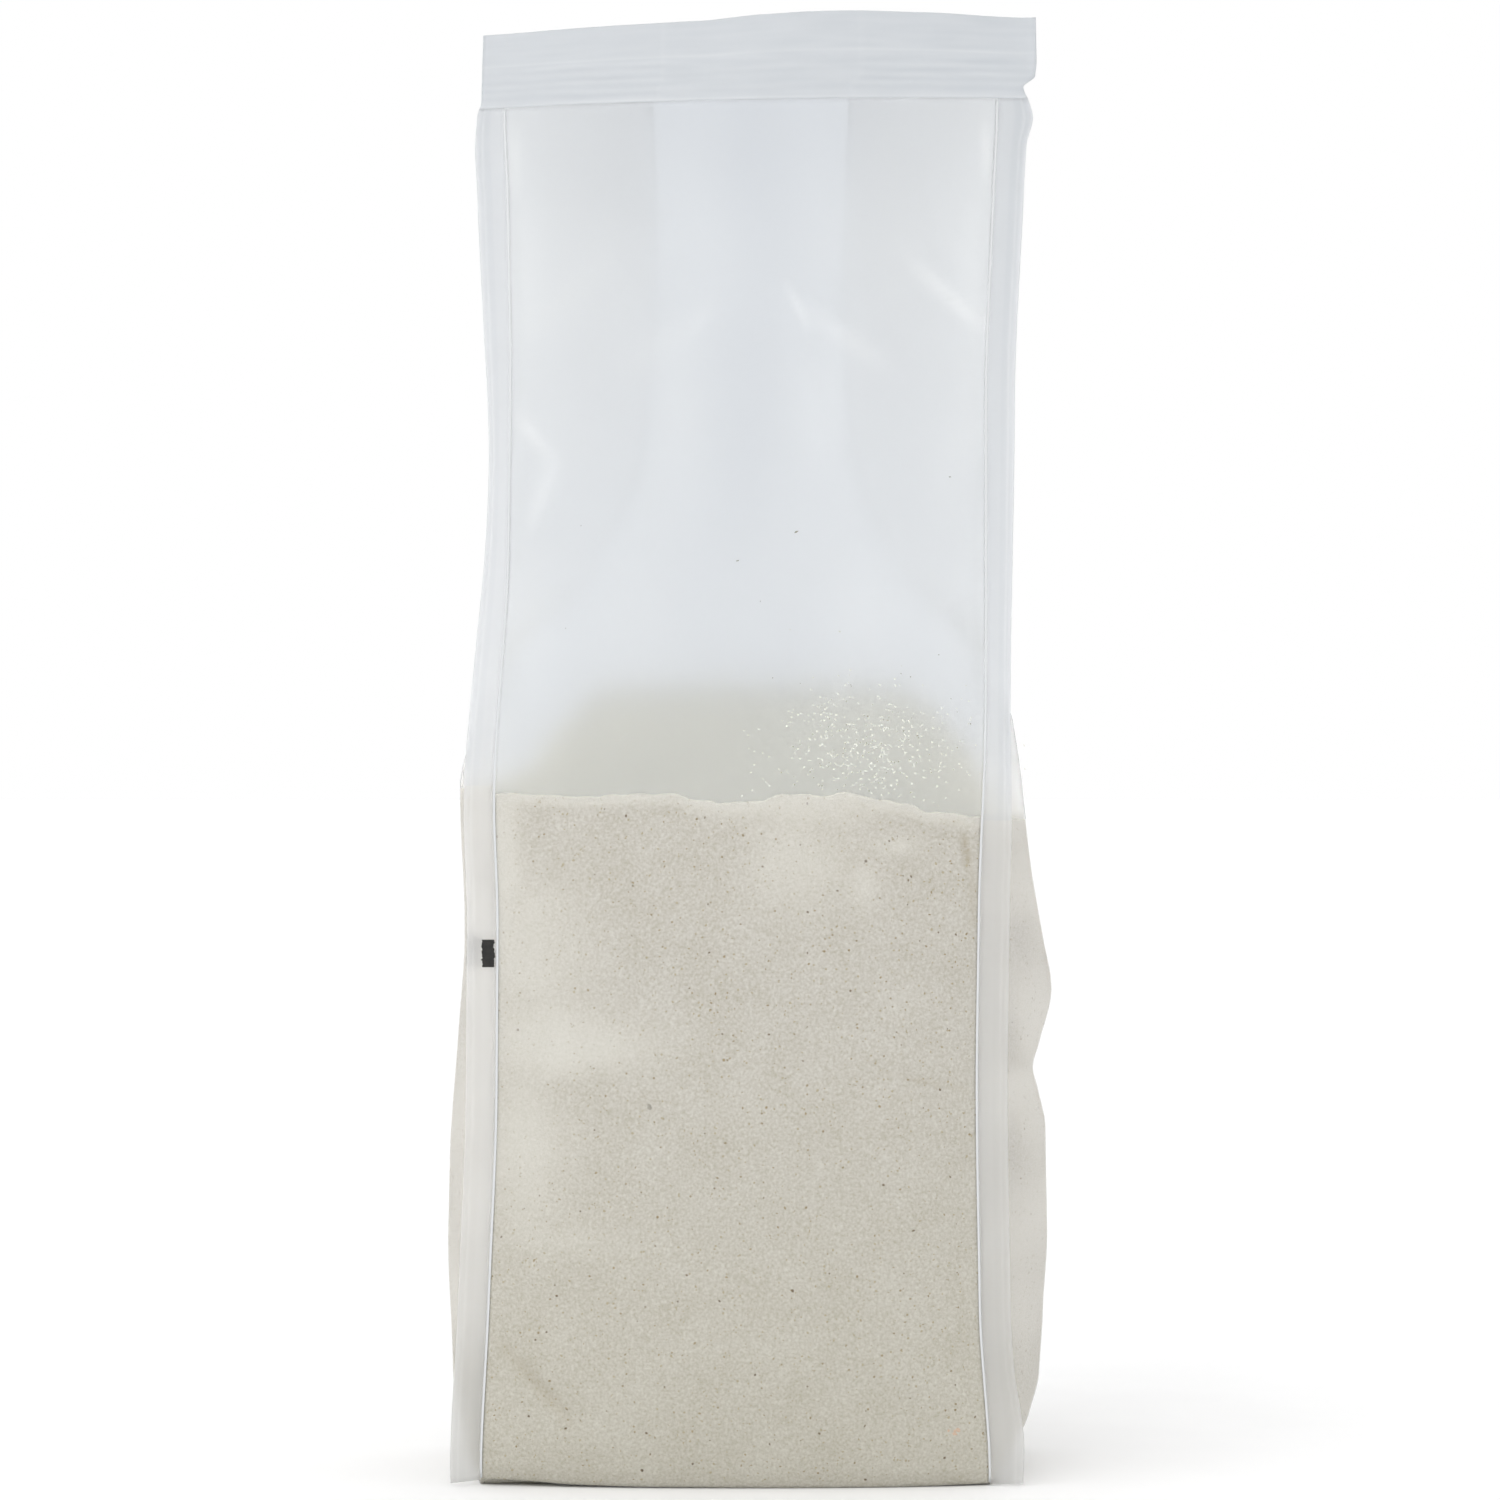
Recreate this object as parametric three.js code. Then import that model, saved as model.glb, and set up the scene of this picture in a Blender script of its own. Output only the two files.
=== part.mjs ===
// A clear film bag of flour, standing upright on its block bottom. The film has a front and a back
// panel, two side gussets, four corner seals that stand out as fins, and a ribbed heat seal across
// the top. Flour fills the lower part and pushes the panels and gussets out. Above it the bag is
// empty: the panels lean together up to the top seal and the gussets fold inwards between them.
// Units are millimetres, Z is up, the front faces -Y, and the origin is at the bottom centre.

import * as THREE from "three";

// Driving dimensions
const topSealZ = 337; // height of the lower edge of the top seal
const bandHeight = 21.6; // the top seal together with the free film above it
const ribbedHeight = 12; // lower part of the band, pressed into ribs
const ribCount = 4;
const ribRelief = 0.5; // how far a rib stands out of the band on each face
const bandHalfThickness = 1.1;
const finWidth = 7.3; // how far a corner seal stands out sideways
const finThickness = 0.9;
const finSlotDepth = 0.4; // what is left of the slot between two fins inside the top seal
const bandSlope = 0.02; // the right end of the top seal is higher
const bandBow = 7; // the middle of the top seal is this much nearer to the front
const bowStartZ = 225;
const leftLean = THREE.MathUtils.degToRad(24); // the ends of the band curl backwards
const rightLean = THREE.MathUtils.degToRad(14);
const panelFullness = 2.4; // 2 is a round panel, more is flatter in the middle
const gussetFullness = 2.1;
const foldSharpness = 1.25; // 1 is a straight-sided fold
const panelSegments = 14;
const gussetSegments = 8;

// Profiles of the bag by height: pairs of height and value. A gusset value is how far its middle
// stands outside the corner seals, and is negative where the gusset is folded inwards.
const leftSealX = [[0, -64.8], [45, -62.8], [96, -60.9], [136, -60.7], [164, -61.6], [227, -58.7],
  [263, -58.6], [312, -59.7], [topSealZ, -60.8]];
const rightSealX = [[0, 57.8], [45, 55.2], [96, 54.5], [136, 55], [191, 57], [263, 57.7],
  [312, 60], [topSealZ, 61.2]];
const halfDepth = [[0, 30], [12, 32.4], [60, 33.5], [120, 33.2], [165, 31.6], [200, 26.4],
  [250, 17], [300, 7.4], [325, 2.8], [topSealZ, bandHalfThickness]];
const panelBulge = [[0, 4.6], [30, 7.4], [80, 8.4], [130, 7.2], [163, 5], [200, 2], [240, 0.3],
  [topSealZ, 0]];
const leftGusset = [[0, 2], [6, 6], [26, 9.6], [60, 12.4], [80, 12.8], [108, 11.2], [131, 9.8],
  [167, 10], [184, 7], [200, -2], [222, -18], [250, -24], [290, -20], [320, -8], [topSealZ, 0]];
const rightGusset = [[0, 4], [7, 8], [14, 11.7], [24, 15], [39, 17], [60, 18.5], [84, 18.5],
  [93, 16.8], [99, 15.4], [105, 16.9], [118, 19.8], [132, 17.3], [152, 13.5], [172, 10.3],
  [184, 8], [200, -1], [222, -18], [250, -24], [290, -20], [320, -8], [topSealZ, 0]];
const leftTipOffset = [[150, 0], [200, -0.8], [246, -2.4], [285, -0.8], [312, 0], [325, 0.2],
  [335, -0.6], [339, -1.6], [358, -1.6]];
const rightTipOffset = [[0, 0.6], [12, 1.1], [30, 0], [150, 0], [189, -1.5], [250, -0.5], [300, 0],
  [325, 0.2], [332, 1.6], [336, 0.6], [340, -0.8], [343, 2.2], [347, 2.6], [358, 2.6]];

// Value of a profile at height z, on a smooth curve that doesn't overshoot its pairs.
function along(profile, z) {
  const slopes = profile.slice(1).map(([z1, v1], i) => (v1 - profile[i][1]) / (z1 - profile[i][0]));
  const tangentAt = (i) => {
    const before = slopes[i - 1] ?? 0;
    const after = slopes[i] ?? 0;
    return before * after > 0 ? Math.sign(before) * Math.min(Math.abs(before), Math.abs(after)) : 0;
  };
  const next = profile.findIndex((pair) => pair[0] > z);
  if (next === 0) return profile[0][1];
  if (next === -1) return profile.at(-1)[1];
  const [z0, v0] = profile[next - 1];
  const [z1, v1] = profile[next];
  const length = z1 - z0;
  const t = (z - z0) / length;
  const ease = t * t * (3 - 2 * t);
  const leave = t * (1 - t) * (1 - t) * length * tangentAt(next - 1);
  const arrive = t * t * (1 - t) * length * tangentAt(next);
  return v0 + (v1 - v0) * ease + leave - arrive;
}

// Extra half thickness of the ribbed band at height z.
function rib(z) {
  const up = (z - topSealZ) / ribbedHeight;
  return up <= 0 || up >= 1 ? 0 : ribRelief * Math.sin(Math.PI * ribCount * up) ** 2;
}

// One gusset point: v runs from -1 at the front seal to 1 at the back seal.
function gussetReach(reach, v) {
  const power = reach > 0 ? gussetFullness : foldSharpness;
  return reach * (1 - Math.abs(v) ** power);
}

// The outline of the bag at height z, anticlockwise seen from above, from the left front seal.
function outlineAt(z) {
  const left = along(leftSealX, z);
  const right = along(rightSealX, z);
  const depth = along(halfDepth, z) + rib(z);
  const bulge = along(panelBulge, z);
  const inBand = z > topSealZ - 1;
  const thickness = Math.min(finThickness, depth * 0.8);
  const leftTip = left - finWidth - along(leftTipOffset, z);
  const rightTip = right + finWidth + along(rightTipOffset, z);
  const leftRoot = inBand ? leftTip + finSlotDepth : left;
  const rightRoot = inBand ? rightTip - finSlotDepth : right;
  const leftReach = inBand ? 0 : along(leftGusset, z);
  const rightReach = inBand ? 0 : along(rightGusset, z);
  const points = [];

  const addPanel = (side) => {
    for (let i = 0; i <= panelSegments; i += 1) {
      const u = side * (1 - (2 * i) / panelSegments);
      const x = (left + right) / 2 - (u * (right - left)) / 2;
      points.push([x, -side * (depth + bulge * (1 - Math.abs(u) ** panelFullness))]);
    }
  };
  const addGusset = (side, rootX, reach) => {
    for (let i = 0; i <= gussetSegments; i += 1) {
      const v = side * ((2 * i) / gussetSegments - 1);
      points.push([rootX + side * gussetReach(reach, v), v * (depth - thickness)]);
    }
  };

  addPanel(1);
  points.push([rightTip, -depth], [rightTip, thickness - depth]);
  addGusset(1, rightRoot, rightReach);
  points.push([rightTip, depth - thickness], [rightTip, depth]);
  addPanel(-1);
  points.push([leftTip, depth], [leftTip, depth - thickness]);
  addGusset(-1, leftRoot, leftReach);
  points.push([leftTip, thickness - depth], [leftTip, -depth]);
  return points;
}

// Places one outline point in space, with the bow, slope and curl of the top of the bag.
function placed([x, y], z) {
  const u = THREE.MathUtils.clamp(x / along(rightSealX, topSealZ), -1.1, 1.1);
  const share = THREE.MathUtils.smoothstep(z, bowStartZ, topSealZ);
  const above = Math.max(0, z - topSealZ);
  const lean = (u < 0 ? leftLean : rightLean) * u * u;
  return new THREE.Vector3(
    x,
    y - bandBow * share * (1 - u * u) + above * Math.sin(lean),
    z - above * (1 - Math.cos(lean)) + bandSlope * x * share,
  );
}

// Heights of the outlines: even steps inside each stretch of the bag.
function heights() {
  const stretches = [[0, 6, 2], [6, 20, 2], [20, 80, 5], [80, 93, 1], [93, 105, 4], [105, 124, 3],
    [124, 184, 5], [184, 240, 6], [240, 318, 4], [318, topSealZ - 1.2, 3],
    [topSealZ, topSealZ + ribbedHeight, 2 * ribCount],
    [topSealZ + ribbedHeight + 1, topSealZ + bandHeight, 2]];
  const list = [];
  for (const [from, to, steps] of stretches) {
    for (let i = list.at(-1) === from ? 1 : 0; i <= steps; i += 1) {
      list.push(from + ((to - from) * i) / steps);
    }
  }
  return list;
}

// Joins all outlines into one closed skin, with a flat base and a cap on the top edge.
function bagGeometry() {
  const levels = heights();
  const rings = levels.map(outlineAt);
  const count = rings[0].length;
  const placedRings = rings.map((ring, k) => ring.map((point) => placed(point, levels[k])));
  const faces = [];
  for (let k = 0; k < rings.length - 1; k += 1) {
    for (let i = 0; i < count; i += 1) {
      const a = k * count + i;
      const b = k * count + ((i + 1) % count);
      faces.push(a, b, b + count, a, b + count, a + count);
    }
  }
  const capOf = (ring) => THREE.ShapeUtils.triangulateShape(ring, []);
  const topStart = (rings.length - 1) * count;
  capOf(placedRings[0]).forEach(([a, b, c]) => faces.push(a, c, b));
  capOf(placedRings.at(-1)).forEach(([a, b, c]) => faces.push(topStart + a, topStart + b, topStart + c));

  const geometry = new THREE.BufferGeometry();
  geometry.setFromPoints(placedRings.flat());
  geometry.setIndex(faces);
  geometry.computeVertexNormals();
  return geometry;
}

const film = new THREE.MeshStandardMaterial({ color: 0xd9dad6, roughness: 0.35, metalness: 0 });
const bag = new THREE.Mesh(bagGeometry(), film);
bag.name = "flour_bag";

const group = new THREE.Group();
group.add(bag);
export default group;
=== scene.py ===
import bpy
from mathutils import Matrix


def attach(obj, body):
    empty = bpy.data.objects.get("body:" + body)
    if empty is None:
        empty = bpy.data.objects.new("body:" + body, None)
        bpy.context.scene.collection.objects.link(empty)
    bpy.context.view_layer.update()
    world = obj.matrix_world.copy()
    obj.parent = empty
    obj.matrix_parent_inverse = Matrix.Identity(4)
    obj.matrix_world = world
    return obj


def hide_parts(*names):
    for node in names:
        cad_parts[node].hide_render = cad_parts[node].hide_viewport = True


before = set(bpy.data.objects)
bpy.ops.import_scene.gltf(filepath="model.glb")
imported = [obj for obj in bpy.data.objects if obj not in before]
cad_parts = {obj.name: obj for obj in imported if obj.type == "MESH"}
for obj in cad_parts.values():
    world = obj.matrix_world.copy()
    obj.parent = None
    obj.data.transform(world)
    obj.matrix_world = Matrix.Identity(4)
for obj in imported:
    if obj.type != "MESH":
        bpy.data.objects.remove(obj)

"""A clear film bag, about half full of whole-grain flour, standing on its block bottom.

The film is a milky clear polypropylene tube with four corner seals, two side gussets and a ribbed
heat seal across the top. Sizes are in millimetres until a piece is finished, and metres after.
"""

import logging
import math
import random
from bisect import bisect_right
from dataclasses import dataclass, field
from enum import Enum
from functools import partial
from typing import Callable

import bmesh
import bpy
from bpy.types import Material, Mesh, Node, NodeSocket, NodeTree, Object
from mathutils import Matrix, Vector, noise

logging.basicConfig(level=logging.INFO, format="%(levelname)s %(message)s")
log = logging.getLogger("flour_bag")

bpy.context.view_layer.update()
CAD_NODE = "flour_bag"
BODY = "root"
MM = 0.001
Place = Callable[[float, float], Vector]
Mark = Callable[[float, float], float]


class Face(Enum):
    """A panel of the bag. The value is its direction along Y."""

    FRONT = -1
    BACK = 1


class Side(Enum):
    """A side of the bag. The value is its direction along X."""

    LEFT = -1
    RIGHT = 1


class Slot(Enum):
    """The record's material slots."""

    FILM = "film"
    FLOUR = "flour"
    PRINT = "print"


def smoothstep(low: float, high: float, value: float) -> float:
    """Returns 0 at low, 1 at high, and an eased value between them."""
    t = min(max((value - low) / (high - low), 0.0), 1.0)
    return t * t * (3.0 - 2.0 * t)


def ridge(distance: float, width: float) -> float:
    """Returns 1 on a line and falls to nothing a few widths away from it."""
    return math.exp(-((distance / width) ** 2)) if abs(distance) < 3.0 * width else 0.0


def linear_colour(hex_code: str) -> tuple[float, float, float, float]:
    """Turns an sRGB hex colour into linear values.

    Args:
        hex_code: Six hex digits, as in "dfe2e6".

    Returns:
        Red, green, blue and an alpha of 1.
    """
    channels = [int(hex_code[i:i + 2], 16) / 255.0 for i in (0, 2, 4)]
    linear = [c / 12.92 if c <= 0.04045 else ((c + 0.055) / 1.055) ** 2.4 for c in channels]
    return (linear[0], linear[1], linear[2], 1.0)


class Profile:
    """A size that changes along a height or a width, as pairs of place and value."""

    def __init__(self, *pairs: tuple[float, float]) -> None:
        """Keeps the pairs and works out the curve's slope at each.

        Args:
            pairs: Place and value of each pair, in order of place.
        """
        self.places = [pair[0] for pair in pairs]
        self.values = [pair[1] for pair in pairs]
        rises = [0.0]
        for i in range(len(pairs) - 1):
            rises.append((self.values[i + 1] - self.values[i]) / (self.places[i + 1] - self.places[i]))
        rises.append(0.0)
        self.slopes = [self._between(before, after) for before, after in zip(rises, rises[1:])]

    @staticmethod
    def _between(before: float, after: float) -> float:
        """Returns a slope between two others that never makes the curve overshoot."""
        return math.copysign(min(abs(before), abs(after)), before) if before * after > 0.0 else 0.0

    def at(self, place: float) -> float:
        """Returns the value at a place, on a smooth curve through the pairs.

        Args:
            place: Height, or place along the width.

        Returns:
            The size there. It keeps the first and last values beyond the ends.
        """
        if place <= self.places[0]:
            return self.values[0]
        if place >= self.places[-1]:
            return self.values[-1]
        i = bisect_right(self.places, place) - 1
        length = self.places[i + 1] - self.places[i]
        t = (place - self.places[i]) / length
        rise = (self.values[i + 1] - self.values[i]) * t * t * (3.0 - 2.0 * t)
        leave = t * (1.0 - t) ** 2 * length * self.slopes[i]
        arrive = t * t * (1.0 - t) * length * self.slopes[i + 1]
        return self.values[i] + rise + leave - arrive


@dataclass(frozen=True)
class Crease:
    """A soft ridge or valley in a panel, from one point to another."""

    x0: float
    z0: float
    x1: float
    z1: float
    width: float
    height: float

    def at(self, x: float, z: float) -> float:
        """Returns how high the crease stands at a point of the panel.

        Args:
            x: Place across the panel.
            z: Height.

        Returns:
            The crease's height, which is negative in a valley.
        """
        along_x, along_z = self.x1 - self.x0, self.z1 - self.z0
        length = math.hypot(along_x, along_z)
        t = ((x - self.x0) * along_x + (z - self.z0) * along_z) / length**2
        if t < 0.0 or t > 1.0:
            return 0.0
        across = ((x - self.x0) * along_z - (z - self.z0) * along_x) / length
        return self.height * math.sin(math.pi * t) * ridge(across, self.width)


@dataclass(frozen=True)
class Patch:
    """A soft round patch of a panel, such as where the film has come away from the flour."""

    x: float
    z: float
    half_width: float
    half_height: float
    strength: float

    def at(self, x: float, z: float) -> float:
        """Returns the patch's strength at a point of the panel.

        Args:
            x: Place across the panel.
            z: Height.

        Returns:
            The strength, which fades to nothing outside the patch.
        """
        across = (x - self.x) / self.half_width
        up = (z - self.z) / self.half_height
        spread = across * across + up * up
        return self.strength * math.exp(-spread) if spread < 9.0 else 0.0


@dataclass(frozen=True)
class BagForm:
    """The shape of the bag, in millimetres.

    Profiles run by height, from the floor up, apart from band_lean, which runs across the band from
    -1 at the left to 1 at the right, and corner_lift, which runs along X. A gusset value is how far
    the middle of a gusset stands outside the corner seals, and is negative where it folds inwards.
    """

    top_seal_z: float = 337.0
    band_height: float = 21.6
    ribbed_height: float = 12.0
    band_slope: float = 0.02
    band_bow: float = 7.0
    bow_start_z: float = 225.0
    fin_width: float = 7.3
    panel_fullness: float = 2.4
    gusset_fullness: float = 2.1
    fold_sharpness: float = 1.15
    lift_end_z: float = 14.0
    lift_depth: float = 2.6
    band_reach: float = 1.1
    band_lean: Profile = Profile((-1.1, 25), (-0.6, 21), (-0.2, 18), (0.06, 9), (0.35, 2), (0.7, 7),
                                 (1.1, 15))
    corner_lift: Profile = Profile((-72, 0.6), (-68, 1.0), (-64, 1.5), (-54, 1.3), (-42, 0.6),
                                   (-24, 0.2), (10, 0), (35, 0), (58, 0.4))
    left_seal: Profile = Profile((0, -64.8), (45, -62.8), (96, -60.9), (136, -60.7), (164, -61.6),
                                 (227, -58.7), (263, -58.6), (312, -59.7), (337, -60.8))
    right_seal: Profile = Profile((0, 57.8), (45, 55.2), (96, 54.5), (136, 55), (191, 57),
                                  (263, 57.7), (312, 60), (337, 61.2))
    half_depth: Profile = Profile((0, 29.3), (1.5, 30.3), (4.5, 31.4), (12, 32.4), (60, 33.5), (120, 33.2),
                                  (165, 31.6), (200, 26.4), (250, 17), (300, 7.2), (325, 2.3), (337, 0.35))
    bulge: Profile = Profile((0, 4.6), (30, 7.4), (80, 8.4), (130, 7.2), (163, 5), (200, 2),
                             (240, 0.3), (337, 0))
    left_gusset: Profile = Profile((0, 2), (6, 6), (26, 9.6), (60, 12.4), (80, 12.8), (108, 11.2),
                                   (131, 9.8), (167, 10), (184, 7), (200, -2), (222, -20),
                                   (250, -32), (300, -36.3), (337, -37))
    right_gusset: Profile = Profile((0, 4), (7, 8), (14, 11.7), (24, 15), (39, 17), (60, 18.5),
                                    (84, 18.5), (93, 16.8), (99, 15.4), (105, 16.9), (118, 19.8),
                                    (132, 17.3), (152, 13.5), (172, 10.3), (184, 8), (200, -1),
                                    (222, -20), (250, -32), (300, -36.3), (337, -37))
    left_tip: Profile = Profile((150, 0), (200, -0.8), (246, -2.4), (285, -0.8), (312, 0),
                                (325, 0.2), (335, -0.6), (339, -1.6), (358, -1.6))
    right_tip: Profile = Profile((0, 0.6), (12, 1.1), (30, 0), (150, 0), (189, -1.5), (250, -0.5),
                                 (300, 0), (325, 0.2), (332, 1.6), (336, 0.6), (340, -0.8),
                                 (343, 2.2), (347, 2.6), (358, 2.6))

    def seal_x(self, side: Side, z: float) -> float:
        """Returns where a corner seal begins, beside the panel."""
        return (self.left_seal if side is Side.LEFT else self.right_seal).at(z)

    def tip_x(self, side: Side, z: float) -> float:
        """Returns where a corner seal ends, at its outer edge."""
        offset = (self.left_tip if side is Side.LEFT else self.right_tip).at(z)
        return self.seal_x(side, z) + side.value * (self.fin_width + offset)

    def placed(self, x: float, y: float, z: float) -> Vector:
        """Returns a point of an upright bag, moved by the lift of its base and the bow of its top.

        Args:
            x: Its place across the bag.
            y: Its place in depth.
            z: Its height.

        Returns:
            The point of the finished bag.
        """
        u = min(max(x / self.right_seal.values[-1], -self.band_reach), self.band_reach)
        share = smoothstep(self.bow_start_z, self.top_seal_z, z)
        above = max(0.0, z - self.top_seal_z)
        lean = math.radians(self.band_lean.at(u))
        back = above * math.sin(lean) - self.band_bow * share * (1.0 - u * u)
        up = self.band_slope * x * share - above * (1.0 - math.cos(lean))
        up += self.lift_at(x, y) * smoothstep(self.lift_end_z, 0.0, z)
        return Vector((x, y + back, z + up))

    def lift_at(self, x: float, y: float) -> float:
        """Returns how far the base stands off the floor, which it does only along its edges."""
        edge = self.half_depth.values[0]
        return self.corner_lift.at(x) * smoothstep(edge - self.lift_depth, edge, abs(y))

    def panel(self, face: Face, u: float, z: float, inset: float = 0.0) -> Vector:
        """Returns a point of the front or back panel.

        Args:
            face: The panel.
            u: From -1 at the left corner seal to 1 at the right one.
            z: Height.
            inset: How far inside the film the point lies.

        Returns:
            The point, before the bow of the bag's top.
        """
        left = self.seal_x(Side.LEFT, z) + inset
        right = self.seal_x(Side.RIGHT, z) - inset
        depth = self.half_depth.at(z) + self.bulge.at(z) * (1.0 - abs(u)**self.panel_fullness)
        x = (left + right) / 2.0 + u * (right - left) / 2.0
        return Vector((x, face.value * (depth - inset), z))

    def gusset(self, side: Side, v: float, z: float, inset: float = 0.0) -> Vector:
        """Returns a point of a side gusset.

        Args:
            side: The side of the bag.
            v: From -1 at the front corner seal to 1 at the back one.
            z: Height.
            inset: How far inside the film the point lies.

        Returns:
            The point, before the bow of the bag's top.
        """
        reach = (self.left_gusset if side is Side.LEFT else self.right_gusset).at(z)
        power = self.gusset_fullness if reach > 0.0 else self.fold_sharpness
        out = reach * (1.0 - abs(v)**power) - inset
        x = self.seal_x(side, z) + side.value * out
        return Vector((x, v * (self.half_depth.at(z) - inset), z))


def add_node(tree: NodeTree, kind: str, settings: dict[object, object] | None = None,
             links: dict[object, NodeSocket] | None = None,
             stops: tuple[tuple[float, str], ...] = ()) -> Node:
    """Adds a node to a material.

    Args:
        tree: The material's node tree.
        kind: The node's type name.
        settings: Properties by name, and inputs by name or number, with their values.
        links: Inputs by name or number, with the output that feeds each.
        stops: For a colour ramp, positions in rising order with their sRGB hex colours.

    Returns:
        The new node.
    """
    node = tree.nodes.new(kind)
    for key, value in (settings or {}).items():
        if isinstance(key, str) and hasattr(node, key):
            setattr(node, key, value)
        else:
            node.inputs[key].default_value = value
    for key, output in (links or {}).items():
        tree.links.new(output, node.inputs[key])
    if stops:
        elements = node.color_ramp.elements
        for position, _ in stops[1:-1]:
            elements.new(position)
        for element, (position, hex_code) in zip(elements, stops):
            element.position = position
            element.color = linear_colour(hex_code)
    return node


def new_material(name: str, settings: dict[object, object]) -> tuple[Material, Node]:
    """Makes a material with a Principled node.

    Args:
        name: What the material really is.
        settings: The Principled node's inputs that are even all over.

    Returns:
        The material and its Principled node.
    """
    material = bpy.data.materials.new(name)
    material.use_nodes = True
    tree = material.node_tree
    tree.nodes.clear()
    shader = add_node(tree, "ShaderNodeBsdfPrincipled", settings)
    add_node(tree, "ShaderNodeOutputMaterial", links={"Surface": shader.outputs[0]})
    return material, shader


@dataclass(frozen=True)
class FilmFinish:
    """Cast polypropylene film, milky clear: light passes, but what lies behind it blurs.

    Real film has an index near 1.49. Each sheet here is a shell with two faces, and several lie
    behind each other, so a lower index keeps the bag as light as the real one. The roughness is
    what blurs the heap of flour and gives the empty part its even, pearly grey. The tint runs from
    dim, the film's own grey, to bright, which paints highlights where the film catches the light.
    """

    name: str
    dim: str
    bright: str
    roughness: float = 0.7
    clearness: float = 0.84
    refraction: float = 1.1
    ripple_mm: float = 7.0
    ripple_depth_mm: float = 0.04

    def build(self) -> Material:
        """Makes the material.

        Returns:
            The material, which reads its tint and painted highlights from the attribute "pale".
        """
        material, shader = new_material(self.name, {
            "Roughness": self.roughness, "IOR": self.refraction, "Transmission Weight": self.clearness})
        tree = material.node_tree
        pale = add_node(tree, "ShaderNodeAttribute", {"attribute_name": "pale"})
        ramp = add_node(tree, "ShaderNodeValToRGB", links={"Fac": pale.outputs["Fac"]},
                        stops=((0.0, self.dim), (1.0, self.bright)))
        where = add_node(tree, "ShaderNodeTexCoord")
        ripple = add_node(tree, "ShaderNodeTexNoise", {"Scale": 1.0 / (self.ripple_mm * MM)},
                          {"Vector": where.outputs["Object"]})
        bump = add_node(tree, "ShaderNodeBump", {"Distance": self.ripple_depth_mm * MM},
                        {"Height": ripple.outputs[0]})
        tree.links.new(ramp.outputs[0], shader.inputs["Base Color"])
        tree.links.new(bump.outputs[0], shader.inputs["Normal"])
        return material


@dataclass(frozen=True)
class PressedFilmFinish:
    """The same film with flour pressed against it: nearly unseen, and paler where it lifts.

    Flour that touches the film wets it out, so the eye sees the grains and hardly any haze. Where
    the film has come away it goes milky again, which the veil gives as a soft pale patch.
    """

    name: str
    tint: str = "fbfaf6"
    roughness: float = 0.42
    veil: float = 0.03
    lifted_veil: float = 0.24
    gloss: float = 0.35

    def build(self) -> Material:
        """Makes the material.

        Returns:
            The material, which reads how far the film has lifted from "slack".
        """
        material, shader = new_material(self.name, {
            "Base Color": linear_colour(self.tint), "Roughness": self.roughness,
            "Specular IOR Level": self.gloss})
        tree = material.node_tree
        lift = add_node(tree, "ShaderNodeAttribute", {"attribute_name": "slack"})
        veil = add_node(tree, "ShaderNodeMapRange", {"To Min": self.veil, "To Max": self.lifted_veil},
                        {"Value": lift.outputs["Fac"]})
        tree.links.new(veil.outputs[0], shader.inputs["Alpha"])
        return material


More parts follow.
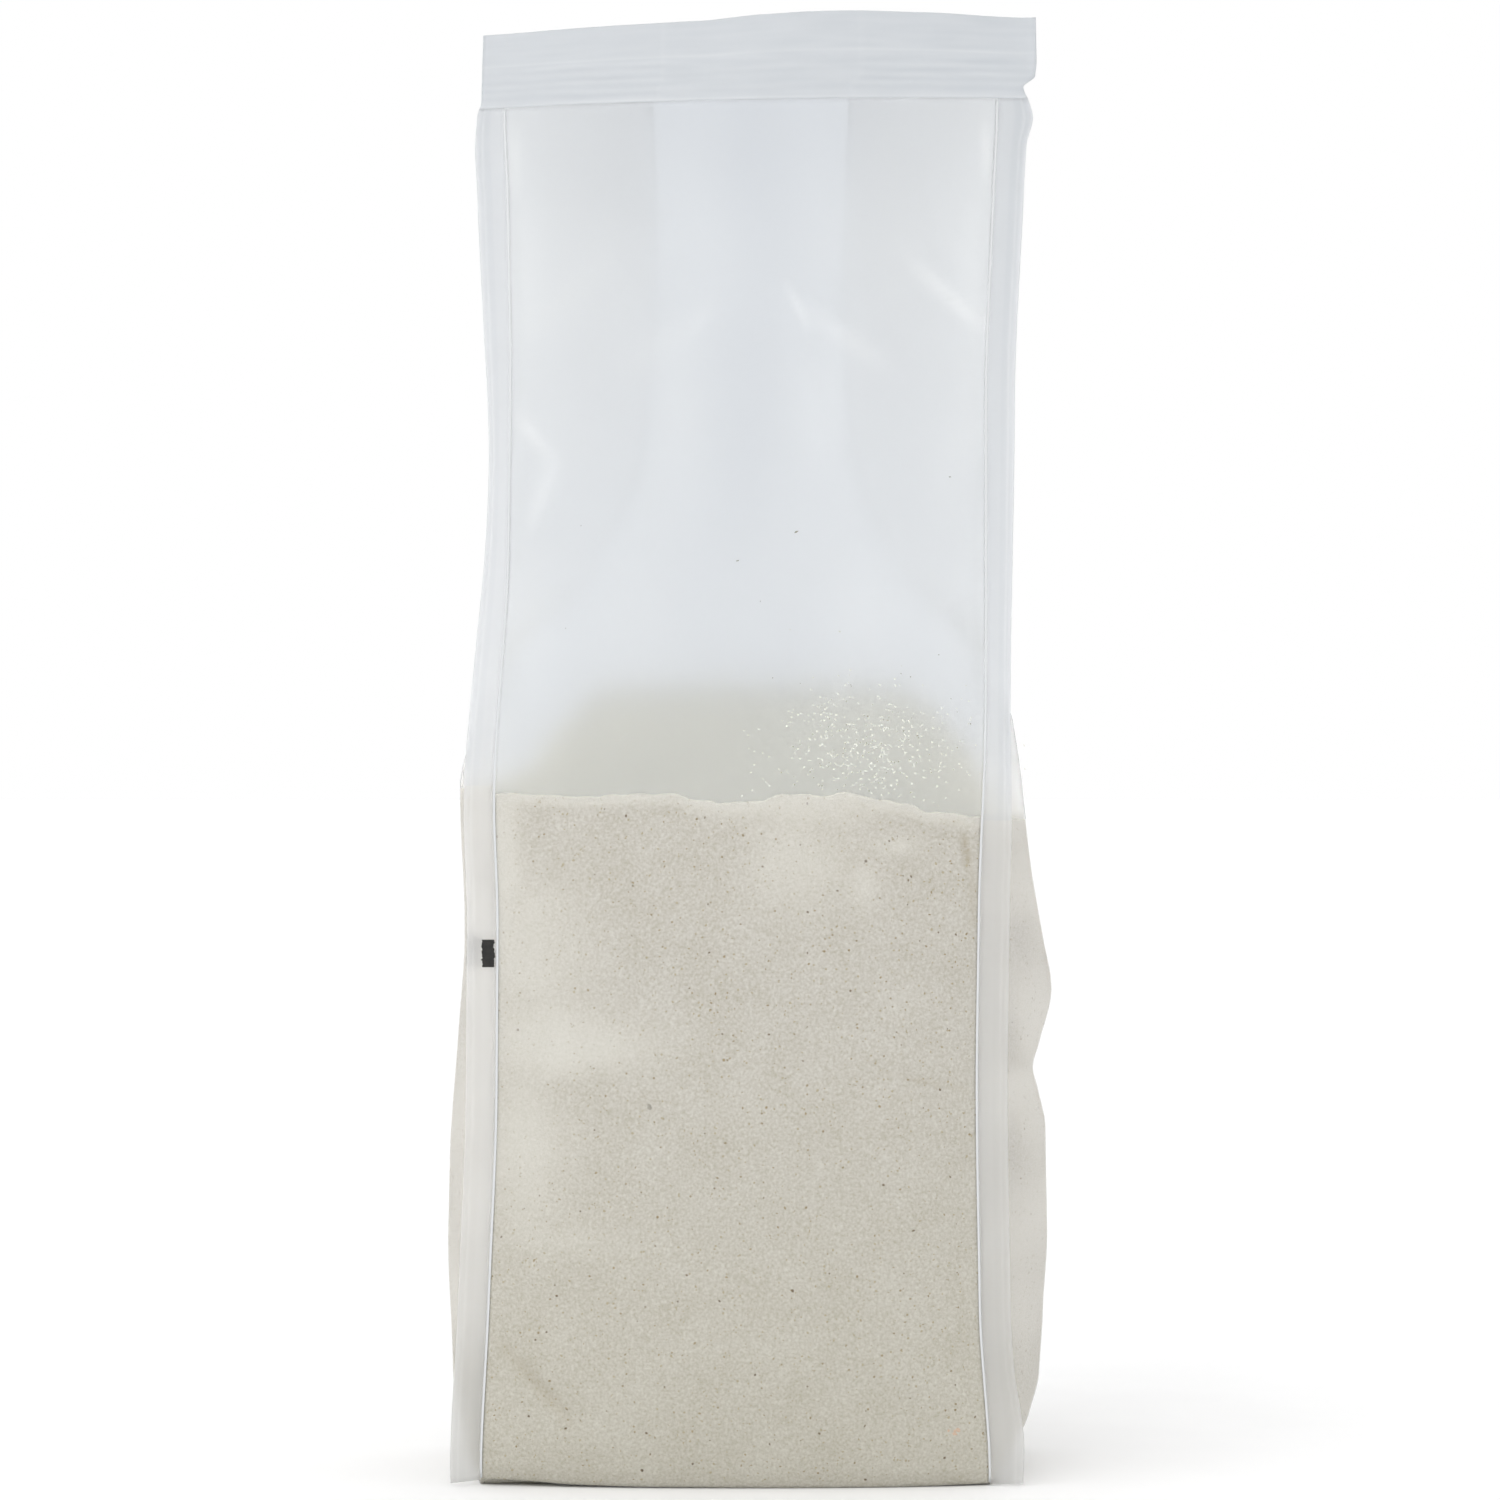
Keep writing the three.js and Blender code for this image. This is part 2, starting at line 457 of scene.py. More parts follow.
@dataclass(frozen=True)
class FlourFinish:
    """Stone-ground whole-grain flour: a dead matte cream powder of coarse and fine grains.

    Fine grains give it a sandy speckle, clumps a slow change of tone, and painted shade makes it
    darker towards the bottom, where less light reaches. Loose flour is paler, and a crack, a real
    groove, is darkened to a brownish line with painted shade.
    """

    name: str = "whole_grain_flour"
    shades: tuple[str, str, str] = ("aca797", "bcb8af", "cbc9c1")
    shade_places: tuple[float, float, float] = (0.36, 0.6, 0.85)
    # Painted shade: the flour is multiplied by the first tint at the bottom and by the second higher up.
    painted_low_shade: tuple[str, str] = ("fbfbf6", "ffffff")
    # Painted shade in the cracks and along the fold of a dent.
    crack_shade: str = "a79c84"
    loose: str = "d0ccbc"
    grain_mm: float = 0.68
    clump_mm: float = 11.0
    clump_strength: float = 0.2
    grain_depth_mm: float = 0.2
    # Painted shade: the height over which the bottom's painted shade fades out.
    painted_low_shade_height_mm: float = 120.0

    def build(self) -> Material:
        """Makes the material.

        Returns:
            The material, which reads the painted shade of cracks and how loose the flour is from the
            flour's attributes.
        """
        material, shader = new_material(self.name, {"Roughness": 0.95, "Specular IOR Level": 0.15})
        tree = material.node_tree
        where = add_node(tree, "ShaderNodeTexCoord")
        grain = add_node(tree, "ShaderNodeTexNoise",
                         {"Scale": 1.0 / (self.grain_mm * MM), "Detail": 2.5, "Roughness": 0.65},
                         {"Vector": where.outputs["Object"]})
        clump = add_node(tree, "ShaderNodeTexNoise",
                         {"Scale": 1.0 / (self.clump_mm * MM), "Detail": 3.0},
                         {"Vector": where.outputs["Object"]})
        mottle = add_node(tree, "ShaderNodeMath", {"operation": "MULTIPLY_ADD", 1: self.clump_strength},
                          {0: clump.outputs[0], 2: grain.outputs[0]})
        shade = add_node(tree, "ShaderNodeValToRGB", links={"Fac": mottle.outputs[0]},
                         stops=tuple(zip(self.shade_places, self.shades)))
        # Painted shade: a ramp by height darkens the flour towards the bottom.
        height = add_node(tree, "ShaderNodeSeparateXYZ", links={0: where.outputs["Object"]})
        rise = add_node(tree, "ShaderNodeMapRange", {"From Max": self.painted_low_shade_height_mm * MM},
                        {"Value": height.outputs["Z"]})
        depth = add_node(tree, "ShaderNodeValToRGB", links={"Fac": rise.outputs[0]},
                         stops=((0.0, self.painted_low_shade[0]), (1.0, self.painted_low_shade[1])))
        low_shaded = add_node(tree, "ShaderNodeMix", {"data_type": "RGBA", "blend_type": "MULTIPLY", 0: 1.0},
                          {6: shade.outputs[0], 7: depth.outputs[0]})
        # Painted shade: cracks and the fold of a dent are mixed towards the crack colour.
        broken = add_node(tree, "ShaderNodeAttribute", {"attribute_name": "crack_shade"})
        pressed = add_node(tree, "ShaderNodeMix", {"data_type": "RGBA", 7: linear_colour(self.crack_shade)},
                           {0: broken.outputs["Fac"], 6: low_shaded.outputs[2]})
        top = add_node(tree, "ShaderNodeAttribute", {"attribute_name": "loose"})
        colour = add_node(tree, "ShaderNodeMix", {"data_type": "RGBA", 7: linear_colour(self.loose)},
                          {0: top.outputs["Fac"], 6: pressed.outputs[2]})
        bump = add_node(tree, "ShaderNodeBump", {"Strength": 0.6, "Distance": self.grain_depth_mm * MM},
                        {"Height": grain.outputs[0]})
        tree.links.new(colour.outputs[2], shader.inputs["Base Color"])
        tree.links.new(bump.outputs[0], shader.inputs["Normal"])
        return material


@dataclass(frozen=True)
class PatchyFinish:
    """A matte finish whose colour wanders between two shades, as on bran, dust, ink and paper."""

    name: str
    dark: str
    light: str
    patch_mm: float
    roughness: float = 0.85

    def build(self) -> Material:
        """Makes the material.

        Returns:
            The material.
        """
        material, shader = new_material(self.name, {"Roughness": self.roughness})
        tree = material.node_tree
        where = add_node(tree, "ShaderNodeTexCoord")
        patch = add_node(tree, "ShaderNodeTexNoise", {"Scale": 1.0 / (self.patch_mm * MM)},
                         {"Vector": where.outputs["Object"]})
        ramp = add_node(tree, "ShaderNodeValToRGB", links={"Fac": patch.outputs[0]},
                        stops=((0.35, self.dark), (0.65, self.light)))
        tree.links.new(ramp.outputs[0], shader.inputs["Base Color"])
        return material


def even(value: float, first: float, second: float) -> float:
    """Returns the same value at every point of a sheet."""
    return value


def add_sheet(mesh: bmesh.types.BMesh, place: Place, across: int, up: int,
              split: float = -1.0, marks: dict[str, Mark] | None = None) -> None:
    """Adds a grid whose points are placed by a function of two numbers from -1 to 1.

    Args:
        mesh: The mesh that the grid joins.
        place: Gives each grid point its place in millimetres.
        across: Faces along the first number.
        up: Faces along the second number.
        split: Faces below this second number get the second material.
        marks: Values that each point keeps, by name.
    """
    values = marks or {}
    layers = {name: mesh.verts.layers.float.get(name) or mesh.verts.layers.float.new(name)
              for name in values}
    made = bmesh.ops.create_grid(mesh, x_segments=across, y_segments=up, size=1.0)
    for quad in {face for vert in made["verts"] for face in vert.link_faces}:
        quad.material_index = 1 if quad.calc_center_median().y < split else 0
    for vert in made["verts"]:
        first, second = vert.co.x, vert.co.y
        for name, value in values.items():
            vert[layers[name]] = value(first, second)
        vert.co = place(first, second)


def finish_piece(mesh: bmesh.types.BMesh, name: str, slot: Slot, materials: list[Material],
                 smooth: bool = True, thickness: float = 0.0) -> Object:
    """Turns a mesh in millimetres into an object of the scene that rides on the bag.

    Args:
        mesh: The finished shape, which is freed.
        name: The piece's name.
        slot: The record's slot for its finish; not used.
        materials: Its materials, in the order of its faces' material numbers.
        smooth: Whether its faces are shaded smooth.
        thickness: The thickness to give a sheet, half on each face.

    Returns:
        The new object.
    """
    bmesh.ops.scale(mesh, vec=(MM, MM, MM), verts=mesh.verts)
    for face in mesh.faces:
        face.smooth = smooth
    data: Mesh = bpy.data.meshes.new(name)
    mesh.to_mesh(data)
    mesh.free()
    piece = bpy.data.objects.new(name, data)
    for material in materials:
        data.materials.append(material)
    bpy.context.scene.collection.objects.link(piece)
    if thickness:
        modifier = piece.modifiers.new("film_thickness", "SOLIDIFY")
        modifier.thickness = thickness * MM
        modifier.offset = 0.0
    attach(piece, BODY)
    log.info("%s: %d faces", name, len(data.polygons))
    return piece


@dataclass(frozen=True)
class FlourForm:
    """The flour's outline inside the film: its level at each wall and the heap behind.

    Lifts are where the film has come away from the flour, cracks are grooves in it that are darkened
    with painted shade, and dents are shallow folds of the film that press into it.
    """

    bag: BagForm
    clearance: float = 0.16
    floor_z: float = 0.1
    back_level: float = 192.5
    heap_half_width: float = 38.0
    heap_foot: float = 19.0
    left_level: float = 168.0
    right_level: float = 160.0
    rim_height: float = 165.0
    front_roughness: float = 0.8
    back_roughness: float = 1.1
    fine_roughness: float = 0.3
    heap_wave: float = 1.6
    heap_slump: float = 22.0
    heap_roughness: float = 2.0
    edge_height: float = 3.8
    edge_strength: float = 2.0
    edge_gap: float = 0.6
    crack_shade_depth: float = 0.9
    back_shift: float = 7.0
    back_narrowing: float = 0.9
    flank_edge_height: float = 5.0
    flank_slack: float = 0.6
    flank_unevenness: float = 0.55
    front_level: Profile = Profile((-62, 166.8), (-39, 166.1), (-20, 166.7), (-12, 165.2), (-5.5, 164.7),
                                   (2, 165.2), (8, 166.4), (25, 166.6), (31, 165.2), (38, 164.2),
                                   (43, 162.5), (58, 161.2))
    lifts: tuple[Patch, ...] = (
        Patch(-53.0, 128.0, 11.0, 17.0, 1.0),
        Patch(-46.0, 107.0, 18.0, 6.0, 1.6),
        Patch(-55.0, 82.0, 9.0, 14.0, 1.2),
        Patch(-60.0, 152.0, 3.6, 16.0, 3.0),
        Patch(12.0, 163.5, 17.0, 3.0, 0.9),
        Patch(12.0, 151.0, 10.0, 10.0, 0.75),
        Patch(35.0, 154.5, 5.0, 2.2, 0.9),
        Patch(27.0, 145.0, 3.0, 5.0, 0.6),
        Patch(37.0, 117.0, 4.0, 3.0, 0.4),
        Patch(-46.0, 60.0, 14.0, 4.0, 0.35),
    )
    # Cracks are cut into the flour and darkened with painted shade. The last one lies along the fold of the
    # first dent, mostly for its painted shade.
    cracks: tuple[Crease, ...] = (
        Crease(51.0, 158.5, 53.2, 147.0, 0.7, 0.75),
        Crease(29.5, 100.5, 55.5, 94.5, 0.3, 0.4),
        Crease(53.4, 150.0, 53.8, 133.0, 0.8, 0.3),
        Crease(-62.5, 38.0, -40.0, 13.0, 1.6, 0.32),
    )
    dents: tuple[Crease, ...] = (
        Crease(-62.5, 38.0, -40.0, 13.0, 1.8, 0.9),
        Crease(-58.0, 37.5, -36.0, 13.0, 2.0, -0.6),
    )
    flank_patches: tuple[Patch, ...] = (
        Patch(66.0, 133.0, 5.0, 6.0, -0.5),
        Patch(70.0, 111.0, 4.0, 9.0, 0.6),
        Patch(63.0, 106.0, 3.0, 8.0, -0.7),
        Patch(67.0, 96.0, 6.0, 4.0, 0.6),
        Patch(63.5, 84.0, 2.5, 6.0, -0.6),
    )

    def rim_z(self, face: Face, u: float) -> float:
        """Returns the flour's level along the front or back panel.

        Args:
            face: The panel.
            u: From -1 at the left corner seal to 1 at the right one.

        Returns:
            The level, which is the top of the heap at the back.
        """
        x = self.bag.panel(face, u, self.rim_height).x
        roughness = self.front_roughness if face is Face.FRONT else self.back_roughness
        rough = noise.noise(Vector((x * 0.2, 3.1, face.value * 5.0))) * roughness
        rough += noise.noise(Vector((x * 0.7, 9.1, face.value * 5.0))) * self.fine_roughness
        if face is Face.FRONT:
            return self.front_level.at(x) + rough
        share = smoothstep(self.heap_half_width + self.heap_foot, self.heap_half_width, abs(x))
        foot = self.left_level if x < 0.0 else self.right_level
        wave = self.heap_wave * noise.noise(Vector((x * 0.05, 7.7, 0.0)))
        slump = self.heap_slump * share * (1.0 - share) * noise.noise(Vector((x * 0.11, 2.3, 0.0)))
        return foot + (self.back_level - foot) * share + rough + wave * share + slump

    def side_z(self, side: Side, v: float) -> float:
        """Returns the flour's level along a gusset.

        Args:
            side: The side of the bag.
            v: From -1 at the front to 1 at the back.

        Returns:
            The level.
        """
        level = self.left_level if side is Side.LEFT else self.right_level
        end = self.rim_z(Face.FRONT if v < 0.0 else Face.BACK, side.value)
        return level + (end - level) * v * v

    def lift(self, face: Face, u: float, z: float) -> float:
        """Returns how far the film has lifted from the flour at a point of a panel, from 0 to 1.

        Args:
            face: The panel.
            u: From -1 at the left corner seal to 1 at the right one.
            z: Height.

        Returns:
            0 where the film lies on the flour, 1 where it is well clear.
        """
        x = self.bag.panel(face, u, z).x
        on_front = x if face is Face.FRONT else self.back_shift - x * self.back_narrowing
        low = self.rim_z(face, u) - z
        edge = smoothstep(self.edge_height, 0.0, low) if low > 0.0 else 1.0
        uneven = 0.5 + noise.noise(Vector((x * 0.14, z * 0.14, face.value)))
        patches = sum(patch.at(on_front, z) for patch in self.lifts)
        return 1.0 - math.exp(-edge * self.edge_strength - patches * (0.8 + 0.6 * uneven))

    def flank_lift(self, side: Side, v: float, z: float) -> float:
        """Returns how far a gusset's film has lifted from the flour at a point, from 0 to 1.

        Args:
            side: The side of the bag.
            v: From -1 at the front to 1 at the back.
            z: Height.

        Returns:
            0 where the film lies on the flour, 1 where it is well clear.
        """
        low = self.side_z(side, v) - z
        edge = smoothstep(self.flank_edge_height, 0.0, low) if low > 0.0 else 1.0
        x = self.bag.gusset(side, v, z).x
        uneven = noise.noise(Vector((side.value * 9.0, v * 1.6, z * 0.06)))
        loose = self.flank_slack + self.flank_unevenness * uneven + 0.4 * edge
        loose -= 0.2 * smoothstep(60.0, 25.0, z)
        if side is Side.RIGHT:
            loose += sum(patch.at(x, z) for patch in self.flank_patches)
        return min(max(loose, 0.05), 1.0)

    def hollow(self, face: Face, u: float, z: float) -> float:
        """Returns how much the flour is dented or cracked at a point of a panel.

        Args:
            face: The panel.
            u: From -1 at the left corner seal to 1 at the right one.
            z: Height.

        Returns:
            0 on even flour, and 1 in the deepest crack.
        """
        x = self.bag.panel(face, u, z).x
        on_front = x if face is Face.FRONT else -x
        broken = noise.noise(Vector((x * 1.1, z * 1.1, 7.0))) * 0.8
        return sum(line.at(on_front + broken, z + broken) for line in self.cracks)

    def wall(self, face: Face, u: float, t: float) -> Vector:
        """Returns a point of the flour's front or back.

        Args:
            face: The panel.
            u: From -1 at the left corner seal to 1 at the right one.
            t: From -1 at the base to 1 at the rim.

        Returns:
            The point, inside the film.
        """
        z = self.floor_z + (self.rim_z(face, u) - self.floor_z) * (t + 1.0) / 2.0
        point = self.bag.panel(face, u, z, self.clearance)
        inside = smoothstep(1.0, 0.97, abs(u))
        dent = sum(line.at(point.x, z) for line in self.dents) if face is Face.FRONT else 0.0
        depth = self.edge_gap * self.lift(face, u, z) + self.crack_shade_depth * self.hollow(face, u, z) + dent
        point.y -= face.value * max(0.0, depth) * inside
        return self.bag.placed(*point)

    def flank(self, side: Side, v: float, t: float) -> Vector:
        """Returns a point of the flour behind a gusset, with t from -1 at the base."""
        z = self.floor_z + (self.side_z(side, v) - self.floor_z) * (t + 1.0) / 2.0
        return self.bag.placed(*self.bag.gusset(side, v, z, self.clearance))

    def across(self, t: float, u: float, v: float) -> Vector:
        """Returns a point of the flour's top or base.

        Args:
            t: 1 for the top and -1 for the base.
            u: From -1 at the left to 1 at the right.
            v: From -1 at the front to 1 at the back.

        Returns:
            The point, spanned from the walls and flanks around it.
        """
        point = self.wall(Face.FRONT, u, t).lerp(self.wall(Face.BACK, u, t), (v + 1.0) / 2.0)
        point += self.flank(Side.LEFT, v, t).lerp(self.flank(Side.RIGHT, v, t), (u + 1.0) / 2.0)
        near = self.wall(Face.FRONT, -1.0, t).lerp(self.wall(Face.FRONT, 1.0, t), (u + 1.0) / 2.0)
        far = self.wall(Face.BACK, -1.0, t).lerp(self.wall(Face.BACK, 1.0, t), (u + 1.0) / 2.0)
        point -= near.lerp(far, (v + 1.0) / 2.0)
        if t > 0.0:
            inside = (1.0 - u**8) * (1.0 - v**8)
            point.z += noise.fractal(point * 0.06, 1.0, 2.0, 3) * self.heap_roughness * inside
        else:
            point.z = self.floor_z + self.bag.lift_at(point.x, point.y)
        return point


@dataclass
class Flour:
    """The flour itself, out to the film."""

    form: FlourForm
    panel_faces: int = 120
    height_faces: int = 200
    depth_faces: int = 44
    flank_looseness: float = 0.9
    panel_looseness: float = 0.4
    weld_distance: float = 0.02

    def build(self, material: Material) -> Object:
        """Makes the flour as one closed piece.

        Args:
            material: Its finish.

        Returns:
            The piece.
        """
        mesh = bmesh.new()
        for face in Face:
            add_sheet(mesh, partial(self.form.wall, face), self.panel_faces, self.height_faces,
                      marks={"crack_shade": partial(self.crack_shade, face), "loose": partial(self.loose, face)})
        for side in Side:
            add_sheet(mesh, partial(self.form.flank, side), self.depth_faces, self.height_faces,
                      marks={"loose": partial(self.flank_loose, side)})
        for end in (-1.0, 1.0):
            add_sheet(mesh, partial(self.form.across, end), self.panel_faces, self.depth_faces,
                      marks={"loose": partial(even, max(end, 0.0))})
        bmesh.ops.remove_doubles(mesh, verts=mesh.verts, dist=self.weld_distance)
        bmesh.ops.recalc_face_normals(mesh, faces=mesh.faces)
        return finish_piece(mesh, "flour", Slot.FLOUR, [material])

    def crack_shade(self, face: Face, u: float, t: float) -> float:
        """Returns how dark a crack is at a point of the flour's front or back."""
        # The darkness is painted shade in the crack or crease.
        return min(1.0, self.form.hollow(face, u, self.form.rim_z(face, u) * (t + 1.0) / 2.0))

    def loose(self, face: Face, u: float, t: float) -> float:
        """Returns how loose, and so how pale, the flour is at a point of its front or back."""
        return self.panel_looseness * self.form.lift(face, u, self.form.rim_z(face, u) * (t + 1.0) / 2.0)

    def flank_loose(self, side: Side, v: float, t: float) -> float:
        """Returns how loose, and so how pale, the flour is at a point behind a gusset."""
        z = self.form.side_z(side, v) * (t + 1.0) / 2.0
        return self.flank_looseness * self.form.flank_lift(side, v, z)


@dataclass(frozen=True)
class Region:
    """The part of the flour where grains may lie: all above the floor, or a spot on the front."""

    low: float = 1.5
    x: float = 0.0
    z: float = 0.0
    radius: float = 0.0

    def share(self, point: Vector) -> float:
        """Returns 1 where grains may lie and 0 elsewhere.

        Args:
            point: A point of the flour, in millimetres.

        Returns:
            The share.
        """
        if self.radius:
            near = math.hypot(point.x - self.x, point.z - self.z) < self.radius
            return 1.0 if near and point.y < 0.0 else 0.0
        return 1.0 if point.z > self.low else 0.0


@dataclass(frozen=True)
class Grains:
    """Loose bits of one kind, such as dark bran, lying on a surface. Most are near the smallest."""

    name: str
    count: int
    smallest: float
    largest: float
    seed: int
    stand_out: float = 0.09
    segments: int = 5

    def scatter(self, surface: Object, region: Region, material: Material) -> None:
        """Scatters the bits over a surface.

        Args:
            surface: The piece that they lie on.
            region: The part of the surface where they may lie.
            material: Their finish.
        """
        draw = random.Random(self.seed)
        surface.data.calc_loop_triangles()
        triangles = [t for t in surface.data.loop_triangles if t.area > 0.0]
        weights = [t.area * region.share(t.center / MM) for t in triangles]
        places = []
        for triangle in draw.choices(triangles, weights=weights, k=self.count):
            a, b, c = (surface.data.vertices[i].co / MM for i in triangle.vertices)
            p, q = draw.random(), draw.random()
            if p + q > 1.0:
                p, q = 1.0 - p, 1.0 - q
            size = self.smallest + (self.largest - self.smallest) * draw.random()**1.6
            turn = triangle.normal.to_track_quat("Z", "X").to_matrix().to_4x4()
            turn @= Matrix.Rotation(draw.uniform(0.0, math.tau), 4, "Z")
            turn @= Matrix.Diagonal((size, size * draw.uniform(0.45, 1.0), self.stand_out, 1.0))
            places.append(Matrix.Translation(a + (b - a) * p + (c - a) * q) @ turn)
        self.lay(places, draw, material)

    def lay(self, places: list[Matrix], draw: random.Random, material: Material) -> None:
        """Lays one flake at each place, from copies of one ragged cone.

        Args:
            places: Turn, size and place of each flake.
            draw: Makes each flake's outline differ.
            material: Their finish.
        """
        mesh = bmesh.new()
        flake = mesh.verts.layers.int.new("flake")
        bmesh.ops.create_cone(mesh, cap_ends=True, segments=self.segments, radius1=0.5, radius2=0.0,
                              depth=1.0, matrix=Matrix.Translation((0.0, 0.0, 0.4)))
        made = 1
        while made < len(places):
            copies = bmesh.ops.duplicate(mesh, geom=mesh.verts[:] + mesh.edges[:] + mesh.faces[:])
            for part in copies["geom"]:
                if isinstance(part, bmesh.types.BMVert):
                    part[flake] += made
            made *= 2
        spare = [vert for vert in mesh.verts if vert[flake] >= len(places)]
        bmesh.ops.delete(mesh, geom=spare, context="VERTS")
        for vert in mesh.verts:
            vert.co.x *= draw.uniform(0.7, 1.25)
            vert.co.y *= draw.uniform(0.7, 1.25)
            vert.co = places[vert[flake]] @ vert.co
        finish_piece(mesh, self.name, Slot.FLOUR, [material], smooth=False)


@dataclass
class Film:
    """The film tube: panels, gussets, base, corner seals and top seal.

    Relief holds the creases of the empty panels. Painted highlight lines and patches are where those
    panels catch the light. Brightness profiles run by height.
    """

    bag: BagForm
    flour: FlourForm
    thickness: float = 0.09
    seal_thickness: float = 0.2
    bead_width: float = 0.55
    bead_thickness: float = 0.06
    bead_inset: float = 0.1
    bead_margin: float = 0.4
    emboss_height: float = 0.1
    fin_sway: float = 0.5
    rib_count: float = 5.0
    rib_depth: float = 0.12
    fold_step: float = 0.06
    band_wave: float = 0.35
    left_fold_x: float = -23.0
    right_fold_x: float = 24.5
    slack_start_z: float = 185.0
    slack_full_z: float = 230.0
    slack_depth: float = 2.0
    seal_margin: float = 25.0
    panel_faces: int = 120
    gusset_faces: int = 40
    low_rows: int = 110
    high_rows: int = 110
    fin_faces: int = 30
    bead_faces: int = 4
    seam_rows: int = 200
    base_faces: tuple[int, int] = (44, 24)
    band_faces: tuple[int, int] = (150, 90)
    relief: tuple[Crease, ...] = (
        Crease(9, 296, 18, 240, 4.0, 0.8),
        Crease(16, 262, 36, 196, 5.0, 0.8),
        Crease(8, 293, 32, 276, 1.6, -0.6),
        Crease(38, 297, 60, 279, 1.8, 0.7),
        Crease(54, 332, 58, 286, 1.4, 0.5),
        Crease(-59, 263, -46, 246, 1.8, 0.6),
        Crease(-46, 250, -54, 225, 2.0, 0.6),
    )
    painted_highlight_lines: tuple[Crease, ...] = (
        Crease(8, 292, 15, 279, 1.0, 0.5),
        Crease(11, 286, 36, 269, 2.2, 0.3),
        Crease(37, 298, 60, 278, 1.8, 0.42),
        Crease(57.6, 334, 58.6, 314, 1.2, 0.5),
        Crease(-59, 261, -46, 246, 1.6, 0.36),
        Crease(-46, 250, -54, 230, 2.2, 0.32),
    )
    painted_light_patches: tuple[Patch, ...] = (
        Patch(18, 262, 6.5, 18, 0.2),
        Patch(24, 238, 7, 14, 0.1),
        Patch(30, 212, 11, 16, 0.18),
        Patch(55, 288, 3.5, 20, 0.14),
        Patch(-36, 300, 4, 5, 0.08),
        Patch(-53, 212, 5, 22, 0.14),
        Patch(-55, 262, 4, 14, 0.1),
        Patch(2, 270, 9, 45, -0.08),
    )
    brightness: Profile = Profile((195, 0.31), (230, 0.32), (265, 0.33), (300, 0.38), (337, 0.28))
    left_fin_brightness: Profile = Profile((5, 0.22), (18, 0.27), (45, 0.6), (70, 0.72), (117, 0.76),
                                           (160, 0.72), (180, 0.63), (220, 0.6), (300, 0.59))
    right_fin_brightness: Profile = Profile((5, 0.44), (18, 0.5), (60, 0.6), (150, 0.66), (200, 0.5),
                                            (300, 0.53))
    middle_rows: float = field(init=False, default=0.0)

    def __post_init__(self) -> None:
        """Works out the grid row that follows the flour's level."""
        self.middle_rows = 2.0 * self.low_rows / (self.low_rows + self.high_rows) - 1.0

    def height(self, level: float, t: float) -> float:
        """Returns the height of a grid row, so that one row follows the flour's level.

        Args:
            level: The flour's level at this place.
            t: From -1 at the base to 1 at the top seal.

        Returns:
            The height.
        """
        if t <= self.middle_rows:
            return level * (t + 1.0) / (self.middle_rows + 1.0)
        return level + (self.bag.top_seal_z - level) * (t - self.middle_rows) / (1.0 - self.middle_rows)

    def panel_point(self, face: Face, u: float, t: float) -> Vector:
        """Returns a grid point of a panel of film."""
        return self.panel_surface(face, u, self.height(self.flour.rim_z(face, u), t))

    def front_place(self, x: float, z: float) -> Vector:
        """Returns the point of the front panel's outer face at a place seen from the front.

        Args:
            x: Place across the bag.
            z: Height.

        Returns:
            The point.
        """
        middle = (self.bag.seal_x(Side.LEFT, z) + self.bag.seal_x(Side.RIGHT, z)) / 2.0
        u = (x - middle) / (self.bag.seal_x(Side.RIGHT, z) - middle)
        return self.panel_surface(Face.FRONT, u, z) - Vector((0.0, self.thickness / 2.0, 0.0))

    def panel_surface(self, face: Face, u: float, z: float) -> Vector:
        """Returns a point of a panel of film with its creases, at a height.

        Args:
            face: The panel.
            u: From -1 at the left corner seal to 1 at the right one.
            z: Height.

        Returns:
            The point, which never reaches into the gussets.
        """
        point = self.bag.panel(face, u, z)
        on_front = point.x if face is Face.FRONT else -point.x
        stand_out = sum(crease.at(on_front, z) for crease in self.relief)
        top = self.bag.top_seal_z
        empty = smoothstep(self.slack_start_z, self.slack_full_z, z)
        empty *= smoothstep(top, top - self.seal_margin, z)
        stand_out += empty * self.slack_depth * noise.noise(Vector((point.x * 0.03, z * 0.012, face.value)))
        room = self.bag.half_depth.at(z) * (1.0 - abs(u))
        stand_out = max(stand_out, -room)
        point.y += face.value * stand_out * smoothstep(1.0, 0.93, abs(u))
        return self.bag.placed(*point)

    def panel_lift(self, face: Face, u: float, t: float) -> float:
        """Returns how far the film has lifted from the flour at a point of a panel."""
        return self.flour.lift(face, u, self.height(self.flour.rim_z(face, u), t))

    def panel_pale(self, face: Face, u: float, t: float) -> float:
        """Returns how pale the film is at a point of a panel.

        Args:
            face: The panel.
            u: From -1 at the left corner seal to 1 at the right one.
            t: From -1 at the base to 1 at the top seal.

        Returns:
            0 where it is dim, 1 where it is bright, with painted highlights where the film catches the
            light and painted brightness towards its sides.
        """
        z = self.height(self.flour.rim_z(face, u), t)
        x = self.bag.panel(face, u, z).x
        on_front = x if face is Face.FRONT else -x
        # Painted light: the film is brighter towards its sides, more so near the top and outside the gusset
        # folds, with painted highlights along lines and in patches where it catches the light.
        top = smoothstep(260.0, 337.0, z)
        pale = self.brightness.at(z) + 0.1 * abs(u)**3 + top * (0.2 * abs(u) - 0.08)
        pale += sum(line.at(on_front, z) for line in self.painted_highlight_lines)
        pale += sum(patch.at(on_front, z) for patch in self.painted_light_patches)
        fold = abs(self.bag.gusset(Side.LEFT if x < 0.0 else Side.RIGHT, 0.0, z).x)
        pale += 0.06 * smoothstep(230.0, 260.0, z) * smoothstep(fold - 2.0, fold + 3.0, abs(x))
        pale += 0.06 * noise.noise(Vector((x * 0.06, z * 0.03, 2.0 + face.value)))
        return min(max(pale, 0.0), 1.0)

